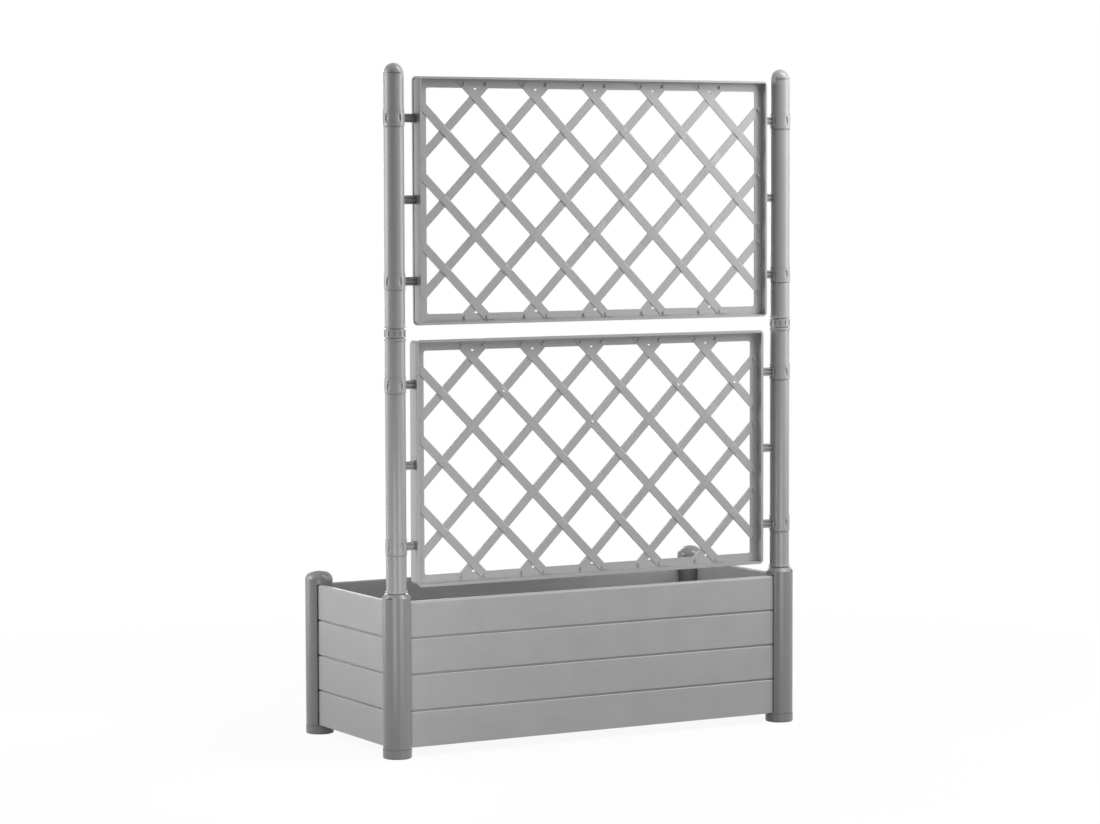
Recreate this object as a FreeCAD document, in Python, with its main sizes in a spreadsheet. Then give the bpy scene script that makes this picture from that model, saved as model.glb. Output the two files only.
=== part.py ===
import FreeCAD, Part
import math
import operator
import os
from types import SimpleNamespace

import Sketcher
from FreeCAD import Placement, Rotation, Vector

# Driving dimensions in millimetres. Each one is a cell of the sheet, with its name as the alias.
DIMENSIONS = {
    # Corner posts: the plan of their axes, and the post itself
    "post_spacing_length": 936.0,
    "post_spacing_width": 368.0,
    "post_radius": 29.5,
    "post_thickness": 3.0,
    "post_spare": 7.4,
    "slot_clearance": 0.8,
    "slot_outer_gap": 3.0,
    # Feet
    "foot_overhang": 0.5,
    "foot_height": 20.5,
    "foot_round": 3.0,
    "foot_floor": 5.0,
    "foot_seam_height": 2.2,
    "foot_seam_depth": 1.8,
    # Plugs of the feet, caps and seats inside the posts
    "plug_length": 14.0,
    "plug_thickness": 3.0,
    "plug_clearance": 0.2,
    # Rim and dome of the back caps
    "cap_rim": 1.5,
    "cap_dome": 21.0,
    # Seats of the tall tubes on the front posts
    "shoulder_height": 7.5,
    "shoulder_ledge": 2.9,
    "neck_inset": 2.0,
    "neck_height": 3.0,
    "seat_spigot_gap": 5.0,
    "latch_width": 8.4,
    "latch_height": 3.4,
    "latch_depth": 4.0,
    # Walls
    "wall_thickness": 13.0,
    "wall_face_offset": 13.5,
    "wall_end_gap": 14.0,
    "board_height": 75.4,
    "groove_height": 3.6,
    "groove_depth": 4.6,
    "groove_round": 2.5,
    "board_round": 1.0,
    "wall_top_round": 5.0,
    "wall_top_inner_round": 3.0,
    "wall_skin": 2.0,
    "wall_rib": 3.0,
    "ledge_height": 6.0,
    "ledge_depth": 9.0,
    "ledge_lift": 8.0,
    # Floor tray
    "tray_thickness": 3.0,
    "tray_clearance": 1.0,
    "tray_rib_height": 10.0,
    "tray_rib_thickness": 3.0,
    "drain_radius": 5.0,
    # Tall tubes, all four alike
    "tube_radius": 21.1,
    "tube_thickness": 2.6,
    "tube_spare": 10.0,
    "tube_lip_proud": 1.8,
    "tube_lip_height": 3.0,
    "tube_lip_round": 1.2,
    "spigot_clearance": 0.3,
    "spigot_thickness": 3.0,
    # Couplings between the lower and upper tubes
    "coupling_proud": 1.3,
    "coupling_bead_height": 5.5,
    "coupling_groove_height": 1.5,
    "coupling_band_height": 17.0,
    "coupling_plug_length": 40.0,
    "coupling_spigot_length": 60.0,
    "coupling_round": 1.0,
    "notch_width": 3.2,
    "notch_height": 10.0,
    "notch_depth": 1.3,
    # Caps of the upper tubes
    "tube_cap_rim_proud": 1.0,
    "tube_cap_gap": 1.3,
    "tube_cap_rim_height": 1.6,
    "tube_cap_inset": 1.7,
    "tube_cap_dome": 18.6,
    "tube_cap_plug_length": 15.0,
    # Pegs and their collars
    "peg_height": 18.0,
    "peg_depth": 8.0,
    "peg_rib": 2.6,
    "peg_web": 2.0,
    "peg_tenon": 3.6,
    "peg_insertion": 10.0,
    "peg_clearance": 0.3,
    "peg_rise": 2.0,
    "peg_end_distance": 87.0,
    "collar_height": 32.5,
    "collar_proud": 1.0,
    "collar_belly": 0.3,
    "collar_bead_height": 1.6,
    "collar_bead_proud": 0.4,
    "collar_seam": 0.9,
    "collar_clearance": 0.1,
    "dimple_height": 21.0,
    "dimple_width": 8.4,
    "dimple_depth": 2.6,
    # Trellis panels
    "panel_gap": 26.9,
    "panel_height": 505.0,
    "panel_depth": 34.0,
    "panel_corner": 10.0,
    "rim_thickness": 4.0,
    "lip_proud": 1.4,
    "lip_depth": 5.0,
    "rail_width": 22.0,
    "rail_thickness": 3.0,
    "rail_corner": 5.0,
    "lath_pitch": 142.0,
    "lath_width": 17.2,
    "lath_thickness": 4.0,
    "lath_step": 1.0,
    "lath_reach": 14.0,
    "boss_radius": 3.4,
    "boss_reach": 8.5,
    "boss_proud": 3.2,
    "peg_depth_offset": 4.2,
    "peg_height_offset": 2.8,
    "upper_panel_play": 1.0,
    "lower_panel_play": -3.5,
    # One overrun for all cuts
    "overrun": 2.0,
}

# Counts and angles
BOARDS = 4
LONG_WALL_CELLS = 6
SHORT_WALL_CELLS = 2
TRAY_LONG_RIBS = 3
TRAY_CROSS_RIBS = 6
DRAIN_COLUMNS = 7
DRAIN_ROWS = 2
COUPLING_NOTCHES = 12
LATCH_TURN = 37
DIMPLE_TURNS = (24, 96, 204, 276)
QUARTER_TURN = 90
HALF_TURN = 180
FULL_TURN = 360
DIAGONAL_SHARE = math.sqrt(0.5)
MATCH_SHARE = 1e-6

VERTICAL = Vector(0, 0, 1)
LENGTHWISE = Vector(1, 0, 0)

doc = FreeCAD.newDocument("raised_planter")
sheet = doc.addObject("Spreadsheet::Sheet", "Dimensions")
for row, (alias, number) in enumerate(DIMENSIONS.items(), start=1):
    sheet.set(f"A{row}", alias)
    sheet.set(f"B{row}", str(number))
    sheet.setAlias(f"B{row}", alias)
doc.recompute()


class Size:
    """A size together with the sheet expression that gives it."""

    def __init__(self, text, number):
        self.text = text
        self.number = number

    def __add__(self, other):
        return combine(self, "+", other)

    def __sub__(self, other):
        return combine(self, "-", other)

    def __mul__(self, other):
        return combine(self, "*", other)

    def __truediv__(self, other):
        return combine(self, "/", other)

    def __neg__(self):
        return combine(0, "-", self)


SIGNS = {"+": operator.add, "-": operator.sub, "*": operator.mul, "/": operator.truediv}


def as_size(value):
    return value if isinstance(value, Size) else Size(repr(value), value)


def combine(left, sign, right):
    left, right = as_size(left), as_size(right)
    return Size(f"({left.text} {sign} {right.text})", SIGNS[sign](left.number, right.number))


size = SimpleNamespace(**{name: Size("Dimensions." + name, sheet.get(name)) for name in DIMENSIONS})

# Sizes and places that several pieces share
half_length = size.post_spacing_length / 2
half_width = size.post_spacing_width / 2
post_bore = size.post_radius - size.post_thickness
post_length = size.board_height * BOARDS + size.post_spare
plug_radius = post_bore - size.plug_clearance
plug_bore = plug_radius - size.plug_thickness
foot_radius = size.post_radius + size.foot_overhang
wall_top = size.foot_height + size.board_height * BOARDS
post_top = size.foot_height + post_length
shoulder_bottom = post_top + size.cap_rim
shoulder_top = shoulder_bottom + size.shoulder_height
lower_tube_bottom = shoulder_top + size.neck_height

tube_bore = size.tube_radius - size.tube_thickness
tube_length = size.panel_height + size.tube_spare
neck_radius = size.tube_radius - size.neck_inset
spigot_radius = tube_bore - size.spigot_clearance
coupling_radius = size.tube_radius + size.coupling_proud
coupling_height = (
    size.coupling_bead_height + size.coupling_groove_height + size.coupling_band_height + size.neck_height
)
lower_tube_top = lower_tube_bottom + tube_length
upper_tube_bottom = lower_tube_top + coupling_height
upper_tube_top = upper_tube_bottom + tube_length

panel_length = size.post_spacing_length - size.tube_radius * 2 - size.panel_gap * 2
peg_middle_height = tube_length / 2 + size.peg_rise
peg_spacing = size.panel_height / 2 - size.peg_end_distance
peg_places = (-peg_spacing, as_size(0), peg_spacing)
seat_spigot_length = peg_middle_height - peg_spacing - size.peg_height / 2 - size.seat_spigot_gap
socket_half_depth = size.peg_depth / 2 + size.peg_clearance
socket_half_height = size.peg_height / 2 + size.peg_clearance
collar_radius = size.tube_radius + size.collar_proud
collar_belly_radius = collar_radius + size.collar_belly


def bind(target, name, length):
    target.setExpression(name, as_size(length).text)


def new_body(label):
    body = doc.addObject("PartDesign::Body", label)
    body.Label = label
    return body


def place(body, x=0, y=0, z=0, turn=0, axis=VERTICAL):
    body.Placement = Placement(Vector(), Rotation(axis, turn))
    for name, length in zip("xyz", (x, y, z)):
        bind(body, "Placement.Base." + name, length)


def primitive(body, kind, corner, turn=0, **lengths):
    feature = body.newObject("PartDesign::" + kind, kind)
    feature.Placement = Placement(Vector(), Rotation(VERTICAL, turn))
    for name, length in lengths.items():
        bind(feature, name, length)
    for name, length in zip("xyz", corner):
        bind(feature, "Placement.Base." + name, length)
    return feature


def around(turn, out, aside):
    """The x and y of a point that lies out from the axis along a turn, and aside to the left of it."""
    cosine, sine = math.cos(math.radians(turn)), math.sin(math.radians(turn))
    return out * cosine - aside * sine, out * sine + aside * cosine


def cylinder(body, radius, bottom, height, cut=False):
    kind = "SubtractiveCylinder" if cut else "AdditiveCylinder"
    return primitive(body, kind, (0, 0, bottom), Radius=radius, Height=height)


def cone(body, lower_radius, upper_radius, bottom, height):
    return primitive(
        body, "AdditiveCone", (0, 0, bottom), Radius1=lower_radius, Radius2=upper_radius, Height=height
    )


def dome(body, radius, bottom, height):
    feature = primitive(
        body, "AdditiveEllipsoid", (0, 0, bottom), Radius1=height, Radius2=radius, Radius3=radius
    )
    feature.Angle1 = 0
    return feature


def box(body, low, high, cut=False, turn=0):
    kind = "SubtractiveBox" if cut else "AdditiveBox"
    length, width, height = [as_size(b) - a for a, b in zip(low, high)]
    return primitive(body, kind, low, turn, Length=length, Width=width, Height=height)


def round_edges(body, radius, chosen):
    doc.recompute()
    base = body.Tip
    names = [f"Edge{index}" for index, edge in enumerate(base.Shape.Edges, start=1) if chosen(edge)]
    feature = body.newObject("PartDesign::Fillet", "Round")
    feature.Base = (base, names)
    bind(feature, "Radius", radius)


def near(value, length):
    return math.isclose(value, as_size(length).number, rel_tol=MATCH_SHARE, abs_tol=MATCH_SHARE)


def ring_edge(radius, height):
    """Chooses the whole circle of one radius at one height."""

    def chosen(edge):
        circle = isinstance(edge.Curve, Part.Circle)
        return circle and near(edge.Curve.Radius, radius) and near(edge.Curve.Center.z, height)

    return chosen


def sketch_on(body, role, offset):
    sketch = body.newObject("Sketcher::SketchObject", "Sketch")
    plane = next(feature for feature in body.Origin.OriginFeatures if feature.Role == role)
    sketch.AttachmentSupport = [(plane, "")]
    sketch.MapMode = "FlatFace"
    bind(sketch, "AttachmentOffset.Base.z", offset)
    return sketch


def pin(sketch, geometry, point, x, y):
    for kind, length in (("DistanceX", x), ("DistanceY", y)):
        length = as_size(length)
        index = sketch.addConstraint(Sketcher.Constraint(kind, -1, 1, geometry, point, length.number))
        bind(sketch, f"Constraints[{index}]", length)


def outline(sketch, corners):
    first = sketch.GeometryCount
    points = [Vector(as_size(x).number, as_size(y).number, 0) for x, y in corners]
    for start, end in zip(points, points[1:] + points[:1]):
        sketch.addGeometry(Part.LineSegment(start, end))
    for index, (x, y) in enumerate(corners):
        following = first + (index + 1) % len(corners)
        sketch.addConstraint(Sketcher.Constraint("Coincident", first + index, 2, following, 1))
        pin(sketch, first + index, 1, x, y)


def rectangle(sketch, x, y, length, height):
    left, right = x - length / 2, x + length / 2
    low, high = y - height / 2, y + height / 2
    outline(sketch, [(left, low), (right, low), (right, high), (left, high)])


def circle(sketch, x, y, radius):
    centre = Vector(as_size(x).number, as_size(y).number, 0)
    index = sketch.addGeometry(Part.Circle(centre, VERTICAL, radius.number))
    pin(sketch, index, 3, x, y)
    constraint = sketch.addConstraint(Sketcher.Constraint("Radius", index, radius.number))
    bind(sketch, f"Constraints[{constraint}]", radius)


def pad(body, sketch, length):
    feature = body.newObject("PartDesign::Pad", "Pad")
    feature.Profile = sketch
    bind(feature, "Length", length)


def pocket(body, sketch, length):
    """Cuts the sketch out along its normal, and stops if nothing was cut."""
    doc.recompute()
    before = body.Shape.Volume
    feature = body.newObject("PartDesign::Pocket", "Pocket")
    feature.Profile = sketch
    feature.Reversed = True
    bind(feature, "Length", length)
    doc.recompute()
    if not body.Shape.Volume < before:
        raise RuntimeError(body.Label + ": the pocket cuts nothing")


# Corners in turning order, each with the quarter turns from the front left one
CORNERS = {
    "front_left": (-half_length, -half_width, 0),
    "front_right": (half_length, -half_width, 1),
    "back_right": (half_length, half_width, 2),
    "back_left": (-half_length, half_width, 3),
}


def cut_wall_slots(body, bottom, top):
    """Cuts room for the two wall ends that enter a corner piece, with a shadow gap along their outer faces."""
    outer = -(size.wall_face_offset + size.slot_outer_gap)
    inner = size.wall_thickness - size.wall_face_offset + size.slot_clearance
    reach = foot_radius + size.overrun
    box(body, (0, outer, bottom), (reach, inner, top), cut=True)
    box(body, (outer, 0, bottom), (inner, reach, top), cut=True)


def corner_post(corner):
    x, y, quarter = CORNERS[corner]
    body = new_body(corner + "_post")
    cylinder(body, size.post_radius, size.foot_height, post_length)
    cylinder(body, post_bore, size.foot_height - size.overrun, post_length + size.overrun * 2, cut=True)
    cut_wall_slots(body, size.foot_height - size.overrun, wall_top + size.slot_clearance)
    place(body, x, y, turn=quarter * QUARTER_TURN)
    return body


def add_plug(body, bottom):
    """Adds the plug that holds a foot, cap or seat in its post, notched for the walls."""
    cylinder(body, plug_radius, bottom, size.plug_length)
    cut_wall_slots(body, bottom, bottom + size.plug_length)


def foot(corner):
    x, y, quarter = CORNERS[corner]
    body = new_body(corner + "_foot")
    add_plug(body, size.foot_height)
    # The base ends below the post in a narrow seam
    base_height = size.foot_height - size.foot_seam_height
    cylinder(body, foot_radius, as_size(0), base_height)
    cylinder(body, size.post_radius - size.foot_seam_depth, base_height, size.foot_seam_height)
    depth = size.foot_height + size.plug_length - size.foot_floor + size.overrun
    cylinder(body, plug_bore, size.foot_floor, depth, cut=True)
    round_edges(body, size.foot_round, ring_edge(foot_radius, 0))
    place(body, x, y, turn=quarter * QUARTER_TURN)
    return body


def post_cap(corner):
    x, y, quarter = CORNERS[corner]
    body = new_body(corner + "_post_cap")
    plug_bottom = post_top - size.plug_length
    add_plug(body, plug_bottom)
    cylinder(body, size.post_radius, post_top, size.cap_rim)
    dome(body, size.post_radius, shoulder_bottom, size.cap_dome)
    cylinder(body, plug_bore, plug_bottom - size.overrun, size.plug_length + size.overrun, cut=True)
    place(body, x, y, turn=quarter * QUARTER_TURN)
    return body


def tube_seat(corner):
    x, y, quarter = CORNERS[corner]
    body = new_body(corner + "_tube_seat")
    add_plug(body, post_top - size.plug_length)
    cylinder(body, size.post_radius, post_top, size.cap_rim)
    shoulder_radius = size.tube_radius + size.shoulder_ledge
    cone(body, size.post_radius, shoulder_radius, shoulder_bottom, size.shoulder_height)
    cylinder(body, neck_radius, shoulder_top, size.neck_height)
    cylinder(body, spigot_radius, lower_tube_bottom, seat_spigot_length)
    bottom = post_top - size.plug_length - size.overrun
    top = lower_tube_bottom + seat_spigot_length + size.overrun
    cylinder(body, spigot_radius - size.spigot_thickness, bottom, top - bottom, cut=True)
    # The latch recess in the rim, near the outer diagonal of the corner
    turn = HALF_TURN + LATCH_TURN
    start = size.post_radius - size.latch_depth
    primitive(
        body, "SubtractiveBox", (*around(turn, start, -size.latch_width / 2), post_top), turn,
        Length=size.latch_depth + size.overrun, Width=size.latch_width, Height=size.latch_height,
    )
    place(body, x, y, turn=quarter * QUARTER_TURN)
    return body


def wall(label, span, cells, x, y, quarter):
    """One wall, outer face to the front, with grooves between its boards and cells open at the bottom."""
    body = new_body(label)
    length = span - size.wall_end_gap * 2
    outer = -size.wall_face_offset
    inner = outer + size.wall_thickness
    joints = [size.foot_height + size.board_height * board for board in range(1, BOARDS)]
    groove_lows = [joint - size.groove_height / 2 for joint in joints]
    groove_highs = [joint + size.groove_height / 2 for joint in joints]
    groove_floor = outer + size.groove_depth
    section = [(inner, wall_top), (inner, size.foot_height), (outer, size.foot_height)]
    for low, high in zip(groove_lows, groove_highs):
        section += [(outer, low), (groove_floor, low), (groove_floor, high), (outer, high)]
    section.append((outer, wall_top))
    sketch = sketch_on(body, "YZ_Plane", -length / 2)
    outline(sketch, section)
    pad(body, sketch, length)

    cell_outer = groove_floor + size.wall_skin
    cell_depth = inner - size.wall_skin - cell_outer
    cell_pitch = (length - size.wall_rib) / cells
    cell_length = cell_pitch - size.wall_rib
    sketch = sketch_on(body, "XY_Plane", size.foot_height)
    for cell in range(cells):
        middle = cell_pitch * (cell + 0.5) - cell_pitch * cells / 2
        rectangle(sketch, middle, cell_outer + cell_depth / 2, cell_length, cell_depth)
    pocket(body, sketch, wall_top - size.foot_height - size.wall_top_round - size.wall_skin)

    ledge = span / 2 - size.post_radius - size.slot_clearance
    low = size.foot_height + size.ledge_lift
    high = low + size.ledge_height
    box(body, (-ledge, inner - size.wall_skin, low), (ledge, inner + size.ledge_depth, high))

    def lengthwise_edge(face, heights):
        def chosen(edge):
            point = edge.Vertexes[0].Point
            along = near(edge.Length, length) and near(point.y, edge.Vertexes[-1].Point.y)
            return along and near(point.y, face) and any(near(point.z, height) for height in heights)

        return chosen

    round_edges(body, size.groove_round, lengthwise_edge(outer, groove_lows))
    round_edges(body, size.board_round, lengthwise_edge(outer, groove_highs + [size.foot_height]))
    round_edges(body, size.wall_top_round, lengthwise_edge(outer, [wall_top]))
    round_edges(body, size.wall_top_inner_round, lengthwise_edge(inner, [wall_top]))
    place(body, x, y, turn=quarter * QUARTER_TURN)
    return body


def floor_tray():
    body = new_body("floor_tray")
    inner = size.wall_face_offset - size.wall_thickness
    end = half_length + inner - size.tray_clearance
    side = half_width + inner - size.tray_clearance
    notch_end = half_length - size.post_radius - size.tray_clearance
    notch_side = half_width - size.post_radius - size.tray_clearance
    bottom = size.foot_height + size.ledge_lift + size.ledge_height
    quadrant = [(notch_end, side), (notch_end, notch_side), (end, notch_side)]
    plan = [(x, -y) for x, y in quadrant]
    plan += [(x, y) for x, y in reversed(quadrant)]
    plan += [(-x, y) for x, y in quadrant]
    plan += [(-x, -y) for x, y in reversed(quadrant)]
    sketch = sketch_on(body, "XY_Plane", bottom)
    outline(sketch, plan)
    pad(body, sketch, size.tray_thickness)

    # Ribs below the plate, clear of the ledges and the posts
    rib_end = notch_end - size.ledge_depth - size.tray_clearance
    rib_side = notch_side - size.ledge_depth - size.tray_clearance
    low = bottom - size.tray_rib_height
    half = size.tray_rib_thickness / 2
    for rib in range(TRAY_LONG_RIBS):
        y = rib_side * (2 * rib / (TRAY_LONG_RIBS - 1) - 1)
        box(body, (-rib_end - half, y - half, low), (rib_end + half, y + half, bottom + half))
    for rib in range(TRAY_CROSS_RIBS):
        x = rib_end * (2 * rib / (TRAY_CROSS_RIBS - 1) - 1)
        box(body, (x - half, -rib_side, low), (x + half, rib_side, bottom + half))

    sketch = sketch_on(body, "XY_Plane", bottom - size.overrun)
    for column in range(DRAIN_COLUMNS):
        for line in range(DRAIN_ROWS):
            x = rib_end * (2 * (column + 0.5) / DRAIN_COLUMNS - 1)
            y = rib_side * (line - 0.5)
            circle(sketch, x, y, size.drain_radius)
    pocket(body, sketch, size.tray_thickness + size.overrun * 2)
    return body


def peg_window(body, turn, height, start):
    """Cuts a peg's window out of a tube or collar, from start outwards along its turn."""
    reach = collar_belly_radius + size.overrun
    corner = (*around(turn, start, -socket_half_depth), height - socket_half_height)
    primitive(
        body, "SubtractiveBox", corner, turn,
        Length=reach - start, Width=socket_half_depth * 2, Height=socket_half_height * 2,
    )


def towards_panel(side):
    return HALF_TURN if side > 0 else 0


def cut_dimples(body, side, height):
    """Sinks two opposite pairs of blind dimples through a collar into its tube."""
    for dimple_turn in DIMPLE_TURNS:
        turn = towards_panel(side) + dimple_turn
        feature = primitive(
            body, "SubtractiveEllipsoid", (*around(turn, collar_belly_radius, as_size(0)), height), turn,
            Radius1=size.dimple_height / 2, Radius2=size.dimple_depth, Radius3=size.dimple_width / 2,
        )
        feature.Angle1 = -QUARTER_TURN


def tube(label, side, bottom):
    """A tall tube with its lip at the bottom and its peg windows, side 1 on the right and -1 on the left."""
    body = new_body(label)
    cylinder(body, size.tube_radius, as_size(0), tube_length)
    lip_radius = size.tube_radius + size.tube_lip_proud
    cylinder(body, lip_radius, as_size(0), size.tube_lip_height)
    cylinder(body, tube_bore, -size.overrun, tube_length + size.overrun * 2, cut=True)
    round_edges(body, size.tube_lip_round, ring_edge(lip_radius, size.tube_lip_height))
    for offset in peg_places:
        peg_window(body, towards_panel(side), peg_middle_height + offset, tube_bore - size.tube_thickness)
        if offset.number:
            cut_dimples(body, side, peg_middle_height + offset)
            # A round seam under the collar
            seam_height = peg_middle_height + offset - size.collar_height / 2 - size.collar_seam
            primitive(
                body, "SubtractiveTorus", (0, 0, seam_height),
                Radius1=size.tube_radius, Radius2=size.collar_seam,
            )
    place(body, half_length * side, -half_width, bottom)
    return body


def coupling(label, side):
    body = new_body(label)
    bead_top = lower_tube_top + size.coupling_bead_height
    band_bottom = bead_top + size.coupling_groove_height
    band_top = band_bottom + size.coupling_band_height
    cylinder(body, coupling_radius, lower_tube_top, size.coupling_bead_height)
    cylinder(body, neck_radius, lower_tube_top, coupling_height)
    cylinder(body, coupling_radius, band_bottom, size.coupling_band_height)
    plug_bottom = lower_tube_top - size.coupling_plug_length
    spigot_top = upper_tube_bottom + size.coupling_spigot_length
    cylinder(body, spigot_radius, plug_bottom, spigot_top - plug_bottom)
    bore = spigot_radius - size.spigot_thickness
    cylinder(body, bore, plug_bottom - size.overrun, spigot_top - plug_bottom + size.overrun * 2, cut=True)
    heights = (lower_tube_top, bead_top, band_bottom, band_top)
    for height in heights:
        round_edges(body, size.coupling_round, ring_edge(coupling_radius, height))
    # Finger notches round the band
    low = band_bottom + (size.coupling_band_height - size.notch_height) / 2
    inner = coupling_radius - size.notch_depth
    for notch in range(COUPLING_NOTCHES):
        turn = notch * FULL_TURN / COUPLING_NOTCHES
        primitive(
            body, "SubtractiveBox", (*around(turn, inner, -size.notch_width / 2), low), turn,
            Length=size.notch_depth + size.overrun, Width=size.notch_width, Height=size.notch_height,
        )
    place(body, half_length * side, -half_width)
    return body


def tube_cap(label, side):
    body = new_body(label)
    plug_bottom = upper_tube_top - size.tube_cap_plug_length
    cylinder(body, spigot_radius, plug_bottom, size.tube_cap_plug_length)
    cylinder(body, neck_radius, upper_tube_top, size.tube_cap_gap)
    rim_bottom = upper_tube_top + size.tube_cap_gap
    cylinder(body, size.tube_radius + size.tube_cap_rim_proud, rim_bottom, size.tube_cap_rim_height)
    rim_top = rim_bottom + size.tube_cap_rim_height
    dome(body, size.tube_radius - size.tube_cap_inset, rim_top, size.tube_cap_dome)
    bore = spigot_radius - size.spigot_thickness
    cylinder(body, bore, plug_bottom - size.overrun, size.tube_cap_plug_length + size.overrun, cut=True)
    place(body, half_length * side, -half_width)
    return body


def collar(label, side, middle):
    """A ring with a slight belly and beads round a tube, a peg window to the panel and four dimples."""
    body = new_body(label)
    half = size.collar_height / 2
    cone(body, collar_radius, collar_belly_radius, -half, half)
    cone(body, collar_belly_radius, collar_radius, as_size(0), half)
    for bead_bottom in (-half, half - size.collar_bead_height):
        cylinder(body, collar_radius + size.collar_bead_proud, bead_bottom, size.collar_bead_height)
    bore = size.tube_radius + size.collar_clearance
    cylinder(body, bore, -half - size.overrun, size.collar_height + size.overrun * 2, cut=True)
    peg_window(body, towards_panel(side), as_size(0), tube_bore)
    cut_dimples(body, side, as_size(0))
    place(body, half_length * side, -half_width, middle)
    return body


def peg(label, side, play, height):
    """A ribbed peg from the panel's rim into the tube, with grooves along both faces."""
    body = new_body(label)
    length = size.peg_tenon + size.panel_gap + size.peg_insertion
    half_depth, half_height = size.peg_depth / 2, size.peg_height / 2
    box(body, (0, -half_depth, -half_height), (length, half_depth, half_height))
    groove_height = (size.peg_height - size.peg_rib * 3) / 2
    for row in (1, -1):
        middle = (size.peg_rib + groove_height) / 2 * row
        low, high = middle - groove_height / 2, middle + groove_height / 2
        start = size.peg_tenon
        box(body, (start, size.peg_web / 2, low), (length, half_depth + size.overrun, high), cut=True)
        box(body, (start, -half_depth - size.overrun, low), (length, -size.peg_web / 2, high), cut=True)
    rim = (panel_length / 2 - size.peg_tenon) * side + play
    place(body, rim, -half_width, height, turn=0 if side > 0 else HALF_TURN)
    return body


def lath_edge(offset, length, height):
    """Both ends of the line x + z = offset in a rectangle, upper left first, each with the side it meets."""
    upper, lower = ("top", (offset - height / 2, height / 2)), ("bottom", (offset + height / 2, -height / 2))
    if upper[1][0].number < -length.number / 2:
        upper = ("left", (-length / 2, offset + length / 2))
    if lower[1][0].number > length.number / 2:
        lower = ("right", (length / 2, offset - length / 2))
    return upper, lower


def lath_outline(offset, length, height):
    """The corners of a lath along x + z = offset, cut off square to the sides of a rectangle."""
    half_band = size.lath_width * DIAGONAL_SHARE
    under = lath_edge(offset - half_band, length, height)
    over = lath_edge(offset + half_band, length, height)
    corners = [under[1][1], under[0][1]]
    if under[0][0] != over[0][0]:
        corners.append((-length / 2, height / 2))
    corners += [over[0][1], over[1][1]]
    if under[1][0] != over[1][0]:
        corners.append((length / 2, -height / 2))
    return corners


def panel(label, play, turn, centre_height, depth_shift):
    """A trellis panel: a rim with a flange at mid-depth, a lip along one edge, and crossed laths."""
    body = new_body(label)
    length, height, depth = panel_length, size.panel_height, size.panel_depth
    inner_length, inner_height = length - size.rim_thickness * 2, height - size.rim_thickness * 2
    opening_length, opening_height = length - size.rail_width * 2, height - size.rail_width * 2
    lip_length, lip_height = length + size.lip_proud * 2, height + size.lip_proud * 2

    sketch = sketch_on(body, "XZ_Plane", -depth / 2)
    rectangle(sketch, as_size(0), as_size(0), length, height)
    rectangle(sketch, as_size(0), as_size(0), inner_length, inner_height)
    pad(body, sketch, depth)
    sketch = sketch_on(body, "XZ_Plane", -depth / 2)
    rectangle(sketch, as_size(0), as_size(0), lip_length, lip_height)
    rectangle(sketch, as_size(0), as_size(0), inner_length, inner_height)
    pad(body, sketch, size.lip_depth)
    sketch = sketch_on(body, "XZ_Plane", -size.rail_thickness / 2)
    rectangle(sketch, as_size(0), as_size(0), length - size.rim_thickness, height - size.rim_thickness)
    rectangle(sketch, as_size(0), as_size(0), opening_length, opening_height)
    pad(body, sketch, size.rail_thickness)

    def corner_edge(edge_length, edge_height):
        def chosen(edge):
            start, end = edge.Vertexes[0].Point, edge.Vertexes[-1].Point
            crosswise = near(start.x, end.x) and near(start.z, end.z)
            return crosswise and near(abs(start.x), edge_length / 2) and near(abs(start.z), edge_height / 2)

        return chosen

    round_edges(body, size.panel_corner, corner_edge(length, height))
    round_edges(body, size.panel_corner, corner_edge(lip_length, lip_height))
    round_edges(body, size.rail_corner, corner_edge(opening_length, opening_height))

    # Sockets for the pegs through both ends of the rim
    inner_end, outer_end = inner_length / 2, length / 2 + size.overrun
    for low_x, high_x in ((inner_end, outer_end), (-outer_end, -inner_end)):
        for offset in peg_places:
            middle = size.peg_height_offset + offset
            low = (low_x, size.peg_depth_offset - socket_half_depth, middle - socket_half_height)
            high = (high_x, size.peg_depth_offset + socket_half_depth, middle + socket_half_height)
            box(body, low, high, cut=True)

    # Lath lines at half pitches either side of the middle, as many as cross the opening
    half_band = size.lath_width * DIAGONAL_SHARE
    room = (opening_length + opening_height) / 2 - half_band
    each_side = math.floor(room.number / size.lath_pitch.number + 0.5)
    offsets = [size.lath_pitch * (index + 0.5) for index in range(-each_side, each_side)]

    boss_thickness = size.rail_thickness + size.boss_proud * 2
    boss_length, boss_height = opening_length + size.boss_reach * 2, opening_height + size.boss_reach * 2
    sketch = sketch_on(body, "XZ_Plane", -boss_thickness / 2)
    for mirror in (1, -1):
        for offset in offsets:
            for _, (x, z) in lath_edge(offset, boss_length, boss_height):
                circle(sketch, x * mirror, z, size.boss_radius)
    pad(body, sketch, boss_thickness)

    reach_length, reach_height = opening_length + size.lath_reach * 2, opening_height + size.lath_reach * 2
    for mirror in (1, -1):
        back = size.lath_thickness / 2 - size.lath_step / 2 * mirror
        sketch = sketch_on(body, "XZ_Plane", -back)
        for offset in offsets:
            outline(sketch, [(x * mirror, z) for x, z in lath_outline(offset, reach_length, reach_height)])
        pad(body, sketch, size.lath_thickness)
    place(body, play, depth_shift - half_width, centre_height, turn=turn, axis=LENGTHWISE)
    return body


pieces = []
for corner in CORNERS:
    pieces += [corner_post(corner), foot(corner)]
for corner in ("back_left", "back_right"):
    pieces.append(post_cap(corner))
for corner in ("front_left", "front_right"):
    pieces.append(tube_seat(corner))

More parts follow.
